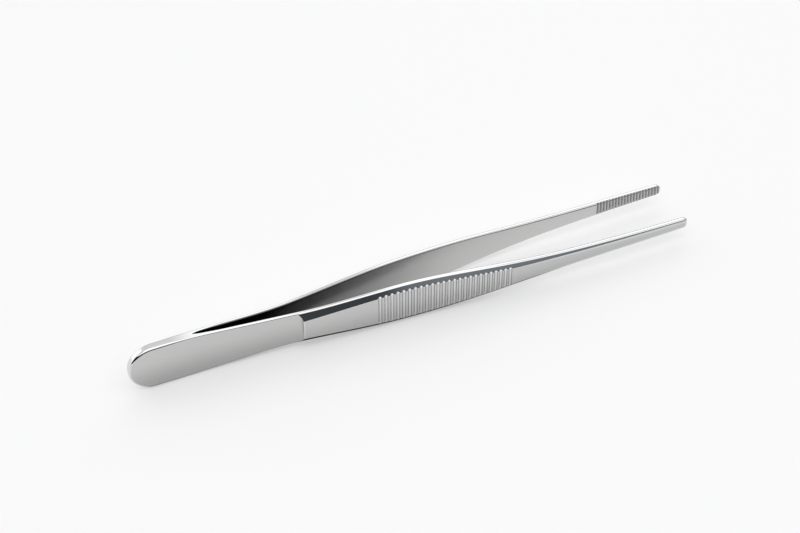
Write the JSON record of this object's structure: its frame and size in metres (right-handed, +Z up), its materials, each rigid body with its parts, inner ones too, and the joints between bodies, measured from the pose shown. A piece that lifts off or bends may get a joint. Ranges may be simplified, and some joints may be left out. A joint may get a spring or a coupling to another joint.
{
  "type": "thumb forceps",
  "caption": "Slender spring steel thumb forceps with welded flat butt, bevelled grooved grip and tapering jaws with fine cross teeth, lying on edge.",
  "frame": {"origin": "middle of the length and thickness, on the surface that the long edges lie on", "axes": "+X from the butt to the tips, +Y towards the left arm, +Z up across the width of the arms"},
  "size_m": [0.145, 0.0156, 0.0124],
  "materials": {
    "stainless_steel": "satin ground flats with polished edges and bevels"
  },
  "bodies": {
    "root": {"left_arm": "stainless_steel", "right_arm": "stainless_steel"}
  },
  "joints": []
}
